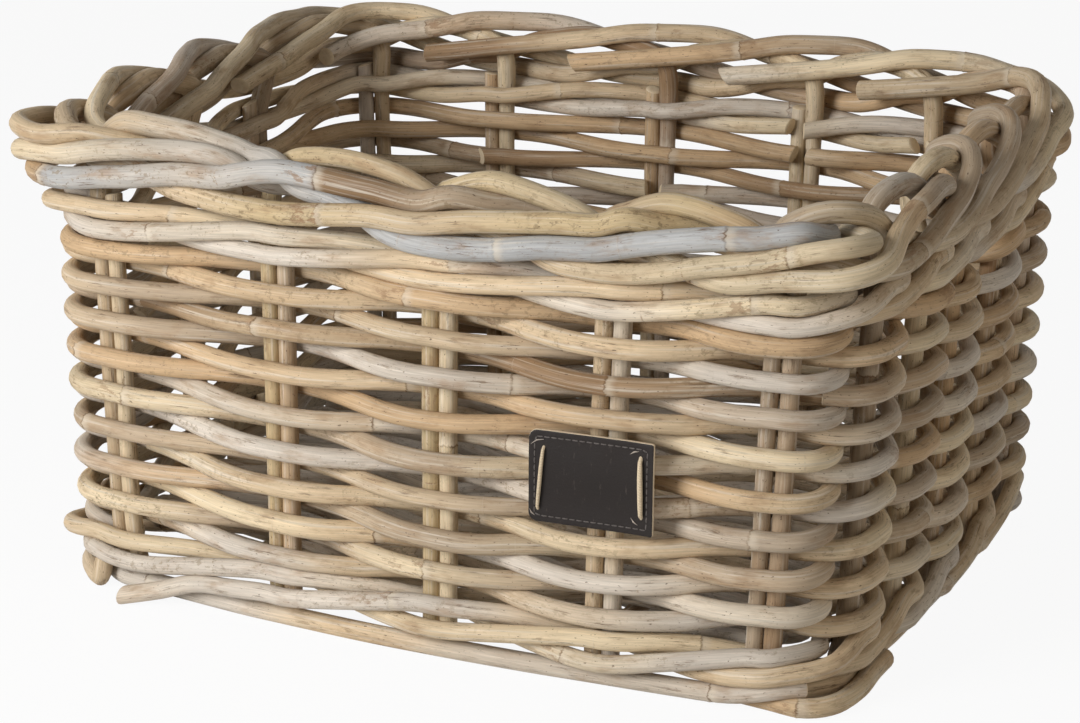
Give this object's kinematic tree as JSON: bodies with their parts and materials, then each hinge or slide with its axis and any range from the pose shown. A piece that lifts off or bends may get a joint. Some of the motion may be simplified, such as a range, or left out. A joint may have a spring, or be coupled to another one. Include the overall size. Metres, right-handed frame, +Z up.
{
  "type": "bicycle basket",
  "caption": "Open rectangular basket of thick woven rattan rods with a rolled rope border, two hand holes and a leather tag, for a bicycle.",
  "frame": {"origin": "on the floor under the middle of the basket's outline", "axes": "+X right along the long front wall, +Y from the front wall to the back wall, +Z up"},
  "size_m": [0.4545, 0.3628, 0.2432],
  "materials": {
    "grey_rattan": "dry matt rattan, weathered grey, with leaf rings and dark specks",
    "tan_rattan": "dry satin rattan, tan, with leaf rings and streaks",
    "pale_rattan": "dry matt rattan, pale",
    "brown_rattan": "dry matt rattan, brown",
    "tag_leather": "dark brown leather, semi-matt, fine grain",
    "tag_cord": "waxed natural cord"
  },
  "bodies": {
    "root": {"base_stick_1": "brown_rattan", "base_stick_2": "brown_rattan", "base_stick_3": "brown_rattan", "base_weaver": "brown_rattan", "by_stake_back_1": "pale_rattan", "by_stake_back_3": "pale_rattan", "by_stake_back_4": "pale_rattan", "by_stake_back_5": "pale_rattan", "by_stake_back_6": "pale_rattan", "by_stake_front_1": "pale_rattan", "by_stake_front_2": "pale_rattan", "by_stake_front_3": "pale_rattan", "by_stake_front_4": "pale_rattan", "by_stake_front_5": "pale_rattan", "by_stake_left_1": "pale_rattan", "by_stake_left_2": "pale_rattan", "by_stake_right_4": "pale_rattan", "foot_rod": "grey_rattan", "hand_hole_weaver_back": "tan_rattan", "hand_hole_weaver_front": "tan_rattan", "leather_tag": "tag_leather", "lower_wale_rod_1": "tan_rattan", "lower_wale_rod_2": "grey_rattan", "lower_wale_rod_3": "tan_rattan", "stake_back_1": "grey_rattan", "stake_back_2": "grey_rattan", "stake_back_3": "grey_rattan", "stake_back_4": "grey_rattan", "stake_back_5": "grey_rattan", "stake_back_6": "grey_rattan", "stake_front_1": "grey_rattan", "stake_front_2": "grey_rattan", "stake_front_3": "grey_rattan", "stake_front_4": "grey_rattan", "stake_front_5": "grey_rattan", "stake_left_1": "grey_rattan", "stake_left_2": "grey_rattan", "stake_left_3": "grey_rattan", "stake_right_1": "grey_rattan", "stake_right_2": "grey_rattan", "stake_right_3": "grey_rattan", "stake_right_4": "grey_rattan", "tag_cord": "tag_cord", "upper_wale_rod_1": "grey_rattan", "upper_wale_rod_2": "tan_rattan", "upper_wale_rod_3": "grey_rattan", "weaver_row_10": "tan_rattan", "weaver_row_11": "grey_rattan", "weaver_row_12": "tan_rattan", "weaver_row_13": "grey_rattan", "weaver_row_14": "tan_rattan", "weaver_row_15": "grey_rattan", "weaver_row_16": "tan_rattan", "weaver_row_3": "tan_rattan", "weaver_row_4": "grey_rattan", "weaver_row_5": "tan_rattan", "weaver_row_6": "grey_rattan", "weaver_row_7": "tan_rattan", "weaver_row_8": "grey_rattan", "weaver_row_9": "tan_rattan"}
  },
  "joints": []
}
